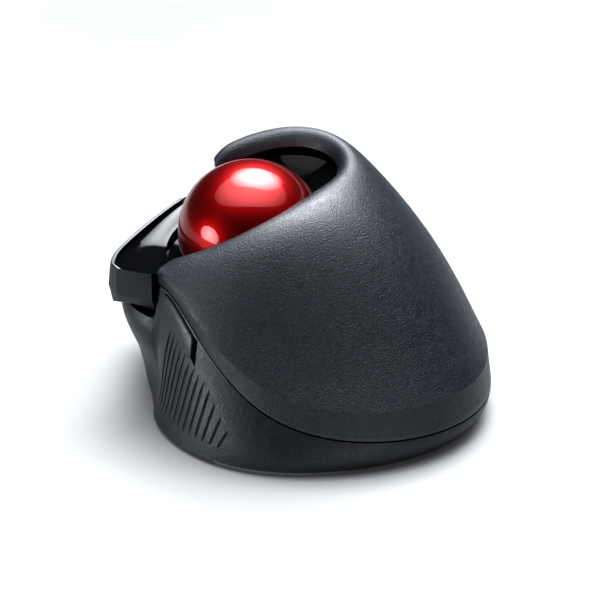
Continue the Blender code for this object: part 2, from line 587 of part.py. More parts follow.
ball_centre = Vector((0, 0, BALL_Z))
BEARING_AT = BALL_R + 1.25 + 0.04
for number, azimuth in enumerate((90, 210, 330)):
    turn, direction = aimed(azimuth, 50)
    join(cup, rod(f"bearing_boss_{number}", 2.7, 18.5, 21.4, turn, centre=ball_centre, steps=20))
for number, azimuth in enumerate((90, 210, 330)):
    turn, direction = aimed(azimuth, 50)
    cut(cup, rod(f"bearing_pocket_{number}", 1.38, 15.0, 20.1, turn, centre=ball_centre, steps=20))
    spot = ball_centre + direction * BEARING_AT
    ball(f"support_bearing_{number + 1}", 1.25, tuple(spot), "zirconia", segments=16, rings=10)
turn, direction = aimed(270, 55)
cut(cup, rod("sensor_window", 3.0, 15.0, 20.6, turn, centre=ball_centre, steps=24))
tilt = Matrix.Translation(ball_centre) @ turn
box("sensor_lens", (-3.4, -2.9, 19.7), (3.4, 2.9, 21.2), "clear_lens", bevel=0.4, turn=tilt)
box("sensor_chip", (-4.6, -3.8, 21.6), (4.6, 3.8, 23.2), "chip_black", bevel=0.2, turn=tilt)
box("sensor_board", (-8.0, -6.5, 23.5), (8.0, 6.5, 24.5), "board_green", bevel=0.15, turn=tilt)

# ---------------------------------------------------------------- bottom plate, doors and feet

def rim_radius(angle):
    return min(base_at_height(angle, z)[1] for z in (1.3, 3.0)) - WALL * 1.08 - 0.35


def rim_loop(z, count=72):
    return polar([(a, rim_radius(a), z) for a in np.linspace(0, 360, count, endpoint=False)])


plate = loft("bottom_plate", [rim_loop(PLATE_Z0), rim_loop(PLATE_Z1)], "satin_black")
cut(plate, disc("eject_hole", EJECT_R, -1, 5, steps=32))
DOOR = (-29.0, -38.5, 23.0, -24.5)


def slab(name, corners, z0, z1, mat=None, radius=2.0, grow=0.0, **more):
    """A plate with rounded corners between two opposite corners (x0, y0, x1, y1)."""
    x0, y0, x1, y1 = corners
    loop = []
    for cx, cy, start in ((x1 - radius, y1 - radius, 0), (x0 + radius, y1 - radius, 90),
                          (x0 + radius, y0 + radius, 180), (x1 - radius, y0 + radius, 270)):
        for step in range(5):
            a = radians(start + step * 22.5)
            loop.append((cx + (radius + grow) * cos(a), cy + (radius + grow) * sin(a)))
    return loft(name, [[(x, y, z0) for x, y in loop], [(x, y, z1) for x, y in loop]], mat, **more)


cut(plate, slab("door_opening", DOOR, -1, 5, grow=0.3))
slab("battery_door", DOOR, PLATE_Z0, PLATE_Z1 - 0.4, "satin_black", origin=(-3.0, -31.5, 1.7))
SWITCH_AT = (-14.0, -17.0)
PAIR_AT = (15.5, -17.5)
cut(plate, slab("power_slot", (SWITCH_AT[0] - 4.2, SWITCH_AT[1] - 1.7, SWITCH_AT[0] + 4.2, SWITCH_AT[1] + 1.7),
                -1, 5, radius=0.6))
slab("power_switch", (SWITCH_AT[0] - 3.9, SWITCH_AT[1] - 1.4, SWITCH_AT[0] + 1.1, SWITCH_AT[1] + 1.4),
     PLATE_Z0 + 0.1, 4.6, "satin_slate", radius=0.5, origin=(SWITCH_AT[0] - 1.4, SWITCH_AT[1], 1.0))
cut(plate, disc("pair_hole", 2.3, -1, 5, centre=(*PAIR_AT, 0), steps=24))
disc("pair_button", 2.0, PLATE_Z0 + 0.2, 4.8, "satin_slate", centre=(*PAIR_AT, 0), steps=24, chamfer=0.3)
for number, angle in enumerate(SCREW_ANGLES):
    x, y, _ = screw_spot(angle)
    cut(plate, disc(f"plate_hole_{number}", 1.25, -1, 5, centre=(x, y, 0), steps=16))
    cut(plate, disc(f"plate_sink_{number}", 2.15, -1, 2.15, centre=(x, y, 0), steps=20))
POSTS = ((-22.5, -12.5), (20.5, -17.5), (-16.0, 13.5), (16.5, 12.5))
for number, (x, y) in enumerate(POSTS):
    join(plate, disc(f"board_post_{number}", 2.0, 2.2, 7.7, centre=(x, y, 0), steps=16))
for number, x in enumerate((CELL_X - CELL_L / 2 - 4.0, CELL_X + CELL_L / 2 + 3.1)):
    join(plate, box(f"bay_wall_{number}", (x - 0.7, CELL_Y - 4.6, 2.2), (x + 0.7, CELL_Y + 6.5, 12.4)))

for name, start, end, near, far in (("foot_left", 184, 221, 1.4, 5.4), ("foot_rear", 252, 276, 1.4, 5.4),
                                    ("foot_right", 320, 350, 1.4, 5.0), ("foot_front_left", 122, 150, 1.4, 4.8),
                                    ("foot_front_right", 44, 74, 1.4, 4.8)):
    rows = []
    for angle in np.linspace(start, end, 9):
        r = base_point(angle, 4)[1]
        rows.append(polar([(angle, r - far, 0), (angle, r - near, 0), (angle, r - near, FOOT_T),
                           (angle, r - far, FOOT_T)]))
    loft(name, rows, "foot_grey", smooth=20.0)

# ---------------------------------------------------------------- power and boards

board_loop = ((-20, -22), (20, -22), (25, -15), (26, 6), (19, 16), (13, 20), (7, 22.3), (-6, 22.8),
              (-11.5, 20.4), (-17, 15.6), (-23, 8), (-26, -4), (-26, -15))
board = loft("main_board", [[(x, y, BOARD_Z) for x, y in board_loop],
                            [(x, y, BOARD_Z + BOARD_T) for x, y in board_loop]], "board_green", smooth=0)
cut(board, disc("board_hole", SKIRT_OUT + 0.5, 5, 12, steps=32))
left_end = CELL_X - CELL_L / 2
right_end = CELL_X + CELL_L / 2
lathe_cell = [(0.02, 0.0), (CELL_R - 0.4, 0.0), (CELL_R, 0.4), (CELL_R, CELL_L - 0.4), (CELL_R - 0.4, CELL_L),
              (2.75, CELL_L), (2.75, CELL_L + 1.2), (2.4, CELL_L + 1.5), (0.02, CELL_L + 1.5)]
rings = []
for r, h in lathe_cell:
    rings.append([(left_end + h, CELL_Y + r * cos(2 * pi * i / 24), CELL_Z + r * sin(2 * pi * i / 24))
                  for i in range(24)])
loft("battery_cell", rings, "cell_wrap", origin=(CELL_X, CELL_Y, CELL_Z), smooth=30.0)
box("battery_plate", (right_end + 1.62, CELL_Y - 3.5, CELL_Z - 4), (right_end + 1.87, CELL_Y + 3.5, CELL_Z + 1.1),
    "steel")

turns, per_turn, sides, wire = 3, 12, 5, 0.3
count = turns * per_turn
rows = []
for i in range(count + 1):
    a = 2 * pi * i / per_turn
    u = i / count
    coil_r = 3.4 - 1.3 * u
    out = Vector((0, cos(a), sin(a)))
    centre = Vector((left_end - 2.9 + 2.45 * u, CELL_Y, CELL_Z)) + out * coil_r
    rows.append([centre + out * wire * cos(2 * pi * j / sides) + Vector((1, 0, 0)) * wire * sin(2 * pi * j / sides)
                 for j in range(sides)])
loft("battery_spring", rows, "steel", smooth=60.0)

# ---------------------------------------------------------------- switches

def micro_switch(name, low, high, nub, nub_r=0.9, tall=1.2):
    body = box(name, low, high, "switch_black", bevel=0.25)
    join(body, disc(name + "_nub", nub_r, high[2] - 0.5, high[2] + tall, centre=(nub[0], nub[1], 0), steps=12))
    return body


BOARD_TOP = BOARD_Z + BOARD_T
box("left_switch_riser", (-13.5, 17.4, BOARD_TOP + 0.3), (-7.0, 19.4, 19.7), "cup_plastic", bevel=0.2)
micro_switch("left_switch", (-15.4, 17.3, 20.0), (-3.6, 21.6, 26.4), (-9.5, 19.8), tall=1.6)
box("right_switch_riser", (18.2, 13.4, BOARD_TOP + 0.3), (20.2, 15.0, 18.2), "cup_plastic", bevel=0.2)
micro_switch("right_switch", (18.6, 10.9, 18.6), (23.8, 17.2, 25.0), (20.8, 15.4), tall=1.4)
side_switch = box("side_switch", (-24.2, 6.2, 23.0), (-21.0, 10.6, 27.4), "switch_black", bevel=0.25)
join(side_switch, disc("side_nub", 0.9, -1.9, 0.3, centre=(-24.2, 8.6, 25.2), axis='X', steps=12))
micro_switch("wheel_switch", (14.9, 16.6, BOARD_TOP + 0.3), (18.1, 19.8, 12.6), (16.5, 18.2), tall=0.5)
micro_switch("power_slide_switch", (SWITCH_AT[0] - 4.4, SWITCH_AT[1] - 1.6, 5.1),
             (SWITCH_AT[0] + 4.4, SWITCH_AT[1] + 1.6, 7.6), (SWITCH_AT[0], SWITCH_AT[1]), tall=0.2)
micro_switch("pair_switch", (PAIR_AT[0] - 1.8, PAIR_AT[1] - 1.8, 5.2), (PAIR_AT[0] + 1.8, PAIR_AT[1] + 1.8, 7.5),
             PAIR_AT, tall=0.2)

# ---------------------------------------------------------------- scroll wheel

hub_profile = [(1.15, -2.6), (2.4, -2.6), (2.4, -1.6), (5.2, -1.6), (5.2, -2.9), (6.1, -2.9), (6.1, 2.9), (5.2, 2.9),
               (5.2, 1.6), (2.4, 1.6), (2.4, 2.6), (1.15, 2.6)]
lathe("wheel_hub", hub_profile, "satin_slate", steps=24, centre=(WHEEL_X, WHEEL_Y, WHEEL_Z), axis='X')
rings = []
for i in range(60):
    a = 2 * pi * i / 60
    reach = WHEEL_R - (0.0 if i % 3 else 0.45)
    loop = ((6.3, -2.9), (reach - 0.5, -2.9), (reach, -2.2), (reach, 2.2), (reach - 0.5, 2.9), (6.3, 2.9))
    rings.append([(WHEEL_X + h, WHEEL_Y + r * cos(a), WHEEL_Z + r * sin(a)) for r, h in loop])
loft("wheel_tyre", rings, "rubber", ring=True, origin=(WHEEL_X, WHEEL_Y, WHEEL_Z), smooth=20.0)
disc("wheel_axle", 1.0, -5.0, 5.0, "steel", centre=(WHEEL_X, WHEEL_Y, WHEEL_Z), axis='X', steps=20, chamfer=0.2)
carrier = box("wheel_carrier", (WHEEL_X - 5.0, 14.6, 12.4), (WHEEL_X + 5.0, 15.9, 16.8), "cup_plastic",
              origin=(WHEEL_X, 16.4, 14.0))
for number, side in enumerate((-1, 1)):
    x0, x1 = sorted((WHEEL_X + side * 4.1, WHEEL_X + side * 5.0))
    join(carrier, box(f"cheek_{number}", (x0, 15.2, 12.4), (x1, WHEEL_Y - 0.5, 16.8)))
    join(carrier, box(f"cheek_end_{number}", (x0, WHEEL_Y - 3.0, 13.6), (x1, WHEEL_Y + 1.7, WHEEL_Z + 2.0)))
join(carrier, box("click_arm", (WHEEL_X + 4.5, 17.0, 14.0), (17.9, 19.6, 15.4)))
cut(carrier, disc("axle_bore", 1.06, -8, 8, centre=(WHEEL_X, WHEEL_Y, WHEEL_Z), axis='X', steps=20))
box("wheel_encoder", (-2.2, 21.0, BOARD_TOP + 0.3), (3.5, 25.6, 20.6), "switch_black", bevel=0.3)

box("radio_chip", (-4.0, -21.0, BOARD_TOP + 0.2), (3.0, -15.4, BOARD_TOP + 1.2), "chip_black", bevel=0.15)
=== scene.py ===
"""Looks for the trackball mouse: finer shells, ball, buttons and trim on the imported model, and a studio.

The tables are in millimetres about the ball's vertical axis, z = 0 at the desk, and are the stations that
part.py has. Angles are in degrees, 0 at the right-hand side and 90 at the front.
"""
import json
import bpy
import bmesh
import numpy as np
from math import radians, sin, cos, pi, sqrt
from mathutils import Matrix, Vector


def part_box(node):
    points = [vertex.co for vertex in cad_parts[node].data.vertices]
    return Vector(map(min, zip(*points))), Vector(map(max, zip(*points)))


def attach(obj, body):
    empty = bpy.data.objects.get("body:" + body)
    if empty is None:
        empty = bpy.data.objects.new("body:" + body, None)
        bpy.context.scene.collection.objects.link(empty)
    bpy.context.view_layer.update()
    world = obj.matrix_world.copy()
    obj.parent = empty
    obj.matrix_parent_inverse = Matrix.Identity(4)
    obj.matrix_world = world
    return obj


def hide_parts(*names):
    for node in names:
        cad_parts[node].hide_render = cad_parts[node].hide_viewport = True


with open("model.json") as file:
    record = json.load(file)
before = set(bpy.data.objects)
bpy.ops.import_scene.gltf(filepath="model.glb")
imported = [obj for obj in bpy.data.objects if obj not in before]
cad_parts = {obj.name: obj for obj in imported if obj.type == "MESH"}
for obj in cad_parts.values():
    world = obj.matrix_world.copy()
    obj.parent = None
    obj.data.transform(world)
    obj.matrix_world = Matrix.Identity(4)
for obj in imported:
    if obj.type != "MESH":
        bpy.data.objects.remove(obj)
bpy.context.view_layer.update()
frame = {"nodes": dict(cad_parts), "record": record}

MM = 0.001
BALL_R = 17.0
BALL_Z = 38.0
WALL = 1.8
SEAM_GAP = 0.45
BUTTON_WALL = 1.6
RING_GAP = 0.6               # from the ball to the ring's lower edge
RING_DEPTH = 1.5
RIB_COUNT = 13
GROOVE_R = 0.42              # half a groove's width
BASE_INSET = 0.16            # keeps the finer base inside the solid one's box
CREASE_INSET = 0.4           # how far the crease is drawn in before it is made sharp
WHEEL = (9.0, 24.4, 17.7)
WHEEL_R = 7.97
TYRE_INNER_R = 6.3
RIBS_ON_WHEEL = 20
SLOT_HALF = 3.7              # half the wheel slot's width
SLOT_Y = (18.6, 40.0)
SLOT_Z = (9.1, 25.95)
LIP_STEP = (0.7, -0.9)       # outwards and upwards, from the opening's edge to the shell's inner edge

ball_low, ball_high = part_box("trackball")
SHIFT = Vector(((ball_low.x + ball_high.x) / 2, (ball_low.y + ball_high.y) / 2, 0.0))


# ---------------------------------------------------------------- smooth surfaces

def spline(points, t, ring=False):
    """A uniform cubic B-spline through station space; its ends are reached unless it is a ring."""
    count = len(points)
    i = int(t) if ring else min(int(t), count - 2)
    u = t - i
    w = np.array([(1 - u) ** 3, 3 * u ** 3 - 6 * u * u + 4, -3 * u ** 3 + 3 * u * u + 3 * u + 1, u ** 3]) / 6
    if ring:
        picked = []
        for k in range(i - 1, i + 3):
            lap, base = divmod(k, count)
            p = np.array(points[base], float)
            p[..., 0] += 360.0 * lap
            picked.append(p)
    else:
        padded = np.concatenate([[2 * points[0] - points[1]], points, [2 * points[-1] - points[-2]]])
        picked = padded[i:i + 4]
    return sum(wk * pk for wk, pk in zip(w, picked))


def polar(points):
    """(angle in degrees, radius, height) to x, y, z."""
    points = np.asarray(points, float)
    a = np.radians(points[..., 0])
    return np.stack([points[..., 1] * np.cos(a), points[..., 1] * np.sin(a), points[..., 2]], -1)


def net(table):
    """Stations as (angle or one angle per point, [(radius, height), ...]) to an array."""
    rows = []
    for angle, points in table:
        angles = angle if isinstance(angle, (list, tuple)) else [angle] * len(points)
        rows.append([(a, r, z) for a, (r, z) in zip(angles, points)])
    return np.array(rows, float)


def profile(rows, t, samples, ring=False):
    line = spline(rows, t, ring)
    return np.array([spline(line, s) for s in samples])


def thicken(outer, thickness):
    """The same profile moved inwards, square to itself in its own upright plane."""
    d = np.gradient(outer[:, 1:], axis=0)
    d /= np.linalg.norm(d, axis=1)[:, None]
    inner = outer.copy()
    inner[:, 1] += d[:, 1] * thickness
    inner[:, 2] -= d[:, 0] * thickness
    return inner


# Palm shell: from the opening's edge over the rim and crest, down the slope to the crease and seam.
PALM = [
    (145.4, [(20.6, 36.9), (21.6, 38.2), (23.2, 38.4), (24.6, 38.0), (25.8, 37.4), (26.6, 36.8),
             (27.2, 36.0), (27.4, 35.2), (27.0, 33.6)]),
    (153, [(19.6, 38.0), (20.5, 39.7), (22.4, 40.2), (24.6, 39.6), (26.2, 38.6), (27.4, 37.5),
           (28.2, 36.6), (28.4, 35.8), (27.6, 34.0)]),
    (165, [(18.3, 40.2), (19.1, 41.9), (21.2, 42.5), (24.0, 41.4), (26.6, 39.0), (28.4, 36.8),
           (29.4, 35.2), (29.8, 34.0), (29.2, 31.2)]),
    (183, [(17.2, 43.4), (17.9, 45.3), (20.0, 45.9), (23.8, 43.8), (27.2, 39.4), (30.2, 34.6),
           (33.2, 29.0), (34.8, 26.4), (34.6, 22.2)]),
    (200, [(16.2, 45.9), (17.0, 48.0), (19.2, 48.9), (23.6, 46.6), (28.2, 40.4), (32.6, 32.6),
           (37.0, 24.2), (40.8, 18.4), (41.8, 12.6)]),
    (220, [(15.2, 47.6), (16.0, 50.0), (18.8, 51.4), (23.8, 49.0), (29.6, 41.8), (35.6, 32.2),
           (41.4, 22.4), (47.8, 14.4), (49.4, 8.2)]),
    (241, [(14.4, 49.0), (15.4, 51.4), (19.0, 53.0), (25.2, 50.4), (32.2, 43.2), (40.0, 33.4),
           (47.8, 23.0), (55.6, 13.8), (57.2, 7.0)]),
    (258, [(14.6, 49.8), (16.0, 52.2), (20.4, 53.8), (27.2, 50.4), (35.4, 43.2), (44.0, 33.4),
           (51.8, 23.0), (59.0, 13.6), (60.0, 6.6)]),
    (275, [(16.6, 50.2), (18.0, 52.6), (21.6, 54.0), (27.4, 50.6), (35.2, 43.6), (43.6, 33.8),
           (50.6, 23.0), (56.4, 13.6), (57.0, 6.6)]),
    (292, [(19.6, 50.6), (20.8, 53.0), (23.8, 54.2), (28.8, 50.8), (35.9, 44.0), (43.4, 34.0),
           (49.2, 23.2), (53.2, 13.6), (53.0, 6.6)]),
    (310, [(22.0, 51.2), (23.0, 53.6), (25.4, 54.9), (29.6, 51.6), (35.4, 44.2), (41.2, 34.2),
           (45.6, 23.4), (48.6, 13.8), (48.0, 6.8)]),
    (330, [(22.9, 51.6), (23.7, 54.2), (26.2, 55.7), (29.7, 52.4), (33.8, 44.6), (37.6, 34.2),
           (40.8, 23.4), (43.0, 14.0), (42.4, 7.0)]),
    (350, [(21.4, 51.2), (22.2, 53.8), (25.0, 55.7), (28.6, 52.6), (31.8, 44.8), (35.0, 34.2),
           (37.4, 23.4), (39.0, 14.2), (38.6, 7.2)]),
    ([370, 370, 370, 368, 366, 364, 362, 361, 360],
     [(19.8, 49.4), (20.8, 52.0), (23.6, 53.6), (27.4, 51.2), (30.8, 44.0), (33.8, 33.6),
      (36.0, 23.4), (37.4, 14.4), (37.2, 7.4)]),
    ([393, 393, 392, 388, 383, 377.6, 374.2, 372.4, 371.4],
     [(20.4, 46.0), (21.2, 49.0), (23.5, 50.5), (26.7, 48.4), (29.6, 41.9), (32.5, 32.9),
      (34.5, 23.0), (35.7, 14.4), (35.7, 7.6)]),
    ([399.0, 399.0, 398.6, 395, 388, 381.2, 376.2, 373.4, 372.2],
     [(20.8, 43.8), (21.5, 46.4), (23.3, 47.3), (26.0, 45.6), (28.6, 40.0), (31.8, 31.8),
      (34.2, 22.6), (35.5, 14.2), (35.5, 7.6)]),
]

# Base shell: from its top edge down to the edge beside the desk, all the way round.
BASE = [
    (30, [(33.6, 20.6), (33.8, 17), (33.6, 12), (33.0, 6), (31.0, 1.3)]),
    (45, [(32.8, 22.2), (33.6, 19), (33.6, 14), (32.6, 7), (30.2, 1.3)]),
    (53.4, [(31.9, 22.9), (32.9, 19.6), (32.9, 14), (31.9, 7), (29.5, 1.3)]),
    (54.3, [(31.8, 22.9), (32.8, 19.6), (32.8, 14), (31.8, 7), (29.4, 1.3)]),
    (55.2, [(30.6, 27.0), (32.2, 21), (32.7, 14.4), (31.7, 7.2), (29.35, 1.3)]),
    (56.1, [(30.5, 27.0), (32.1, 21), (32.6, 14.4), (31.6, 7.2), (29.3, 1.3)]),
    (66, [(27.6, 27.1), (30.8, 22), (31.4, 16), (30.4, 8), (28.4, 1.3)]),
    (80, [(26.2, 27.1), (30.0, 22), (30.2, 16), (29.0, 8), (27.0, 1.3)]),
    (95, [(27.2, 27.1), (29.8, 22.4), (29.2, 16), (27.6, 8), (25.9, 1.3)]),
    (110, [(29.4, 26.8), (30.8, 23), (29.2, 16), (26.6, 8), (25.5, 1.3)]),
    (120, [(30.8, 25.8), (31.8, 23), (29.4, 16), (25.8, 8.4), (25.4, 1.3)]),
    (132, [(30.0, 24.8), (31.4, 22), (28.8, 15), (25.0, 8), (26.2, 1.3)]),
    (141, [(28.6, 24.4), (30.0, 21.4), (28.4, 15), (25.8, 8), (28.2, 1.3)]),
    (144.2, [(28.1, 24.4), (29.4, 21.2), (28.6, 15), (26.4, 8), (29.4, 1.3)]),
    (145.6, [(27.0, 33.2), (28.2, 25), (28.8, 17), (26.8, 8.4), (30.0, 1.3)]),
    (148, [(27.2, 33.2), (28.6, 25.4), (29.4, 17), (28.0, 8.4), (31.0, 1.3)]),
    (153, [(27.6, 33.6), (29.2, 26), (30.4, 17), (30.6, 8.2), (32.8, 1.3)]),
    (165, [(29.2, 30.8), (31.2, 24), (33.2, 15.6), (34.8, 7.6), (36.6, 1.3)]),
    (183, [(34.6, 21.8), (37.0, 16), (39.4, 10.4), (41.2, 5.6), (42.0, 1.3)]),
    (200, [(41.8, 12.2), (43.6, 9.2), (45.2, 6.2), (46.3, 3.8), (46.4, 1.3)]),
    (220, [(49.4, 7.8), (50.3, 6.2), (50.9, 4.5), (51.0, 3.0), (50.0, 1.3)]),
    (241, [(57.2, 6.6), (57.6, 5.4), (57.5, 4.0), (56.9, 2.7), (55.8, 1.3)]),
    (258, [(60.0, 6.2), (60.2, 5.2), (59.9, 3.9), (59.0, 2.7), (57.9, 1.3)]),
    (275, [(57.0, 6.2), (57.0, 5.2), (56.5, 3.9), (55.6, 2.7), (54.4, 1.3)]),
    (292, [(53.0, 6.2), (52.8, 5.2), (52.2, 3.9), (51.2, 2.7), (50.0, 1.3)]),
    (310, [(48.0, 6.4), (47.8, 5.4), (47.2, 3.9), (46.2, 2.7), (45.0, 1.3)]),
    (330, [(42.4, 6.6), (42.2, 5.4), (41.6, 3.9), (40.6, 2.7), (39.4, 1.3)]),
    (350, [(38.6, 6.8), (38.4, 5.4), (38.0, 3.9), (37.2, 2.7), (36.2, 1.3)]),
    (367, [(36.9, 6.9), (36.8, 5.4), (36.2, 3.9), (35.2, 2.7), (34.2, 1.3)]),
    (372.8, [(35.9, 7.0), (35.9, 6.0), (35.5, 4.2), (34.7, 2.8), (33.3, 1.3)]),
    (373.4, [(35.8, 7.0), (35.8, 6.0), (35.4, 4.2), (34.6, 2.8), (33.2, 1.3)]),
    (376.0, [(34.4, 20.2), (35.0, 15), (35.0, 10), (34.2, 5), (32.6, 1.3)]),
    (380, [(34.2, 20.3), (34.6, 16), (34.6, 11), (34.0, 5.4), (31.8, 1.3)]),
]

LEFT_RIM = [
    ((-22.4, 17.0, 35.7), (-22.35, 25.2, 36.2)), ((-21.2, 16.5, 35.3), (-20.8, 27.2, 36.4)),
    ((-18.6, 15.2, 34.0), (-17.6, 28.0, 36.5)), ((-14.9, 13.4, 33.5), (-14.2, 28.2, 36.6)),
    ((-10.5, 16.8, 33.4), (-9.6, 27.7, 36.7)), ((-5.1, 19.1, 33.5), (-3.0, 26.5, 36.9)),
    ((0.0, 19.8, 34.1), (3.5, 25.0, 37.1)), ((5.1, 19.1, 34.8), (9.5, 23.4, 37.3)),
    ((10.3, 16.9, 35.5), (14.6, 21.8, 37.5))]

RIGHT = [
    ([42.0, 40.6, 37.6, 28.9, 23.3, 19.9, 17.9],
     [(21.1, 38.0), (23.0, 40.0), (25.2, 40.4), (28.0, 37.8), (31.2, 32.2), (34.3, 26.4), (34.4, 21.8)]),
    ([47.5, 47.0, 46.0, 42.5, 38.0, 35.0, 34.0],
     [(20.4, 35.0), (22.8, 37.0), (25.2, 38.6), (27.8, 37.0), (30.8, 32.4), (33.7, 26.8), (33.8, 22.6)]),
    ([54.2, 54.2, 54.3, 54.2, 53.8, 53.4, 53.2],
     [(20.2, 33.2), (23.2, 35.0), (26.2, 37.2), (27.8, 36.0), (29.6, 32.6), (31.8, 27.4), (32.0, 23.8)])]

BEZEL = [
    (20, (20.8, 45.8), (19.2, 44.0), 41.8), (36, (20.8, 42.2), (19.4, 40.0), 38.0),
    (50, (19.4, 34.0), (18.5, 33.2), 32.0), (70, (19.3, 32.2), (18.5, 31.8), 31.2),
    (95, (19.3, 32.0), (18.5, 31.7), 31.2), (120, (19.3, 32.0), (18.5, 31.8), 31.3),
    (138, (19.4, 32.8), (18.5, 32.5), 32.0), (150, (19.6, 34.6), (18.6, 34.4), 34.2),
    (165, (18.9, 37.0), (18.4, 36.6), 36.2), (183, (18.0, 40.4), (17.7, 39.6), 38.8),
    (200, (17.3, 43.0), (17.2, 41.8), 40.4), (220, (16.4, 44.8), (16.6, 43.4), 42.0),
    (241, (15.6, 46.4), (15.9, 45.2), 43.6), (258, (15.8, 47.2), (15.8, 45.9), 44.4),
    (275, (17.4, 47.6), (16.4, 46.2), 44.6), (292, (20.4, 48.2), (18.0, 46.4), 44.4),
    (310, (22.6, 48.8), (19.4, 46.6), 44.0), (330, (23.4, 49.2), (20.0, 46.6), 43.4),
    (350, (22.0, 48.6), (19.6, 46.2), 42.8), (368, (20.8, 47.4), (19.2, 45.4), 42.6)]


# ---------------------------------------------------------------- materials

def node(tree, kind, **inputs):
    made = tree.nodes.new(kind)
    for key, value in inputs.items():
        made.inputs[key.replace("_", " ")].default_value = value
    return made


def mix(tree, factor, low, high, kind='RGBA'):
    """Blend two colours or numbers by a socket."""
    made = tree.nodes.new("ShaderNodeMix")
    made.data_type = kind
    a, b, out = (6, 7, 2) if kind == 'RGBA' else (2, 3, 0)
    tree.links.new(factor, made.inputs[0])
    for index, value in ((a, low), (b, high)):
        if isinstance(value, bpy.types.NodeSocket):
            tree.links.new(value, made.inputs[index])
        else:
            made.inputs[index].default_value = value
    return made.outputs[out]


def ramp(tree, value, low, high):
    """A socket stretched so that low..high becomes 0..1."""
    made = tree.nodes.new("ShaderNodeMapRange")
    made.inputs["From Min"].default_value = low
    made.inputs["From Max"].default_value = high
    tree.links.new(value, made.inputs["Value"])
    return made.outputs["Result"]


def scaled(rgb, factor):
    return tuple(min(1.0, c * factor) for c in rgb[:3]) + (1.0,)


CLOUD_BLEND = 0.14           # how far the base colour drifts from patch to patch
SMUDGE = 1.6                 # mm, the size of the roughness variation
FLAKE = 0.14                 # mm
DUST = 0.34                  # mm
EDGE_LIFT = 0.10             # how far a fully worn edge goes towards white
EDGE = (0.52, 0.62)          # pointiness from flat to edge


def noise(tree, where, size, detail, rough):
    """A noise pattern with features about `size` millimetres across."""
    made = node(tree, "ShaderNodeTexNoise", Scale=1000 / size, Detail=detail, Roughness=rough)
    tree.links.new(where, made.inputs["Vector"])
    return made.outputs["Fac"]


def relief(tree, height, depth, under=None, inverted=False):
    """A bump `depth` millimetres deep, on top of the one `under` it if there is one."""
    bump = node(tree, "ShaderNodeBump", Strength=1.0, Distance=depth * MM)
    bump.invert = inverted
    tree.links.new(height, bump.inputs["Height"])
    if under:
        tree.links.new(under, bump.inputs["Normal"])
    return bump.outputs["Normal"]


def pebbles(tree, where, cell):
    """Rounded cells whose borders wander."""
    cells = node(tree, "ShaderNodeTexVoronoi", Scale=1000 / cell)
    cells.feature = 'SMOOTH_F1'
    cells.inputs["Smoothness"].default_value = 0.6
    bend = node(tree, "ShaderNodeTexNoise", Scale=1000 / (cell * 2.2), Detail=2.0)
    tree.links.new(where, bend.inputs["Vector"])
    warped = tree.nodes.new("ShaderNodeVectorMath")
    warped.operation = 'MULTIPLY_ADD'
    warped.inputs[1].default_value = (cell * 0.0012,) * 3
    tree.links.new(bend.outputs["Color"], warped.inputs[0])
    tree.links.new(where, warped.inputs[2])
    tree.links.new(warped.outputs[0], cells.inputs["Vector"])
    return cells.outputs["Distance"]


def plastic(name, rgb, rough, grain=None, fine=None, spread=0.06, patch=12.0, worn=0.25, metallic=0.0,
            coat=0.0, coat_rough=0.03, specular=0.5, sheen=0.0, flakes=0.0, alpha=1.0, transmission=0.0,
            pepper=0.0):
    """A moulded finish: `grain` is (cell mm, depth mm) of pebbles, `fine` the same for a sand texture.

    `spread` varies the roughness, `patch` is how many mm the drift in colour spans, `worn` lightens edges.
    `flakes` and `pepper` are how much brighter than the base colour the metal flakes and the dust are.
    """
    mat = bpy.data.materials.new(name)
    mat.use_nodes = True
    tree = mat.node_tree
    shader = tree.nodes["Principled BSDF"]
    shader.inputs["Metallic"].default_value = metallic
    shader.inputs["Coat Weight"].default_value = coat
    shader.inputs["Coat Roughness"].default_value = coat_rough
    shader.inputs["Specular IOR Level"].default_value = specular
    shader.inputs["Sheen Weight"].default_value = sheen
    shader.inputs["Sheen Roughness"].default_value = 0.45
    shader.inputs["Transmission Weight"].default_value = transmission
    shader.inputs["Alpha"].default_value = alpha
    where = tree.nodes.new("ShaderNodeTexCoord").outputs["Object"]

    drift = ramp(tree, noise(tree, where, patch, 4.0, 0.6), 0.3, 0.7)
    smudges = noise(tree, where, SMUDGE, 3.0, 0.65)
    tone = mix(tree, drift, scaled(rgb, 1 - CLOUD_BLEND), scaled(rgb, 1 + CLOUD_BLEND))
    edge = ramp(tree, tree.nodes.new("ShaderNodeNewGeometry").outputs["Pointiness"], *EDGE)
    lifted = tuple(c + EDGE_LIFT * (1 - c) * worn for c in rgb[:3]) + (1.0,)
    colour = mix(tree, edge, tone, lifted)
    if flakes:
        spark = node(tree, "ShaderNodeTexVoronoi", Scale=1000 / FLAKE)
        tree.links.new(where, spark.inputs["Vector"])
        split = tree.nodes.new("ShaderNodeSeparateColor")
        tree.links.new(spark.outputs["Color"], split.inputs[0])
        colour = mix(tree, ramp(tree, split.outputs[0], 0.80, 1.0), colour, scaled(rgb, 1.0 + flakes))
    if pepper:
        dust = ramp(tree, noise(tree, where, DUST, 2.0, 0.6), 0.50, 0.74)
        colour = mix(tree, dust, colour, scaled(rgb, 1.0 + pepper))
    tree.links.new(colour, shader.inputs["Base Color"])

    smudged = ramp(tree, smudges, 0.32, 0.68)
    polish = mix(tree, smudged, max(rough - spread, 0.02), rough + spread, 'FLOAT')
    rubbed = mix(tree, edge, polish, max(rough - 2 * spread, 0.05), 'FLOAT')
    tree.links.new(rubbed, shader.inputs["Roughness"])

    normal = None
    if grain:
        normal = relief(tree, pebbles(tree, where, grain[0]), grain[1], inverted=True)
    if fine:
        normal = relief(tree, noise(tree, where, fine[0], 2.0, 0.7), fine[1], under=normal)
    if normal:
        tree.links.new(normal, shader.inputs["Normal"])
    return mat


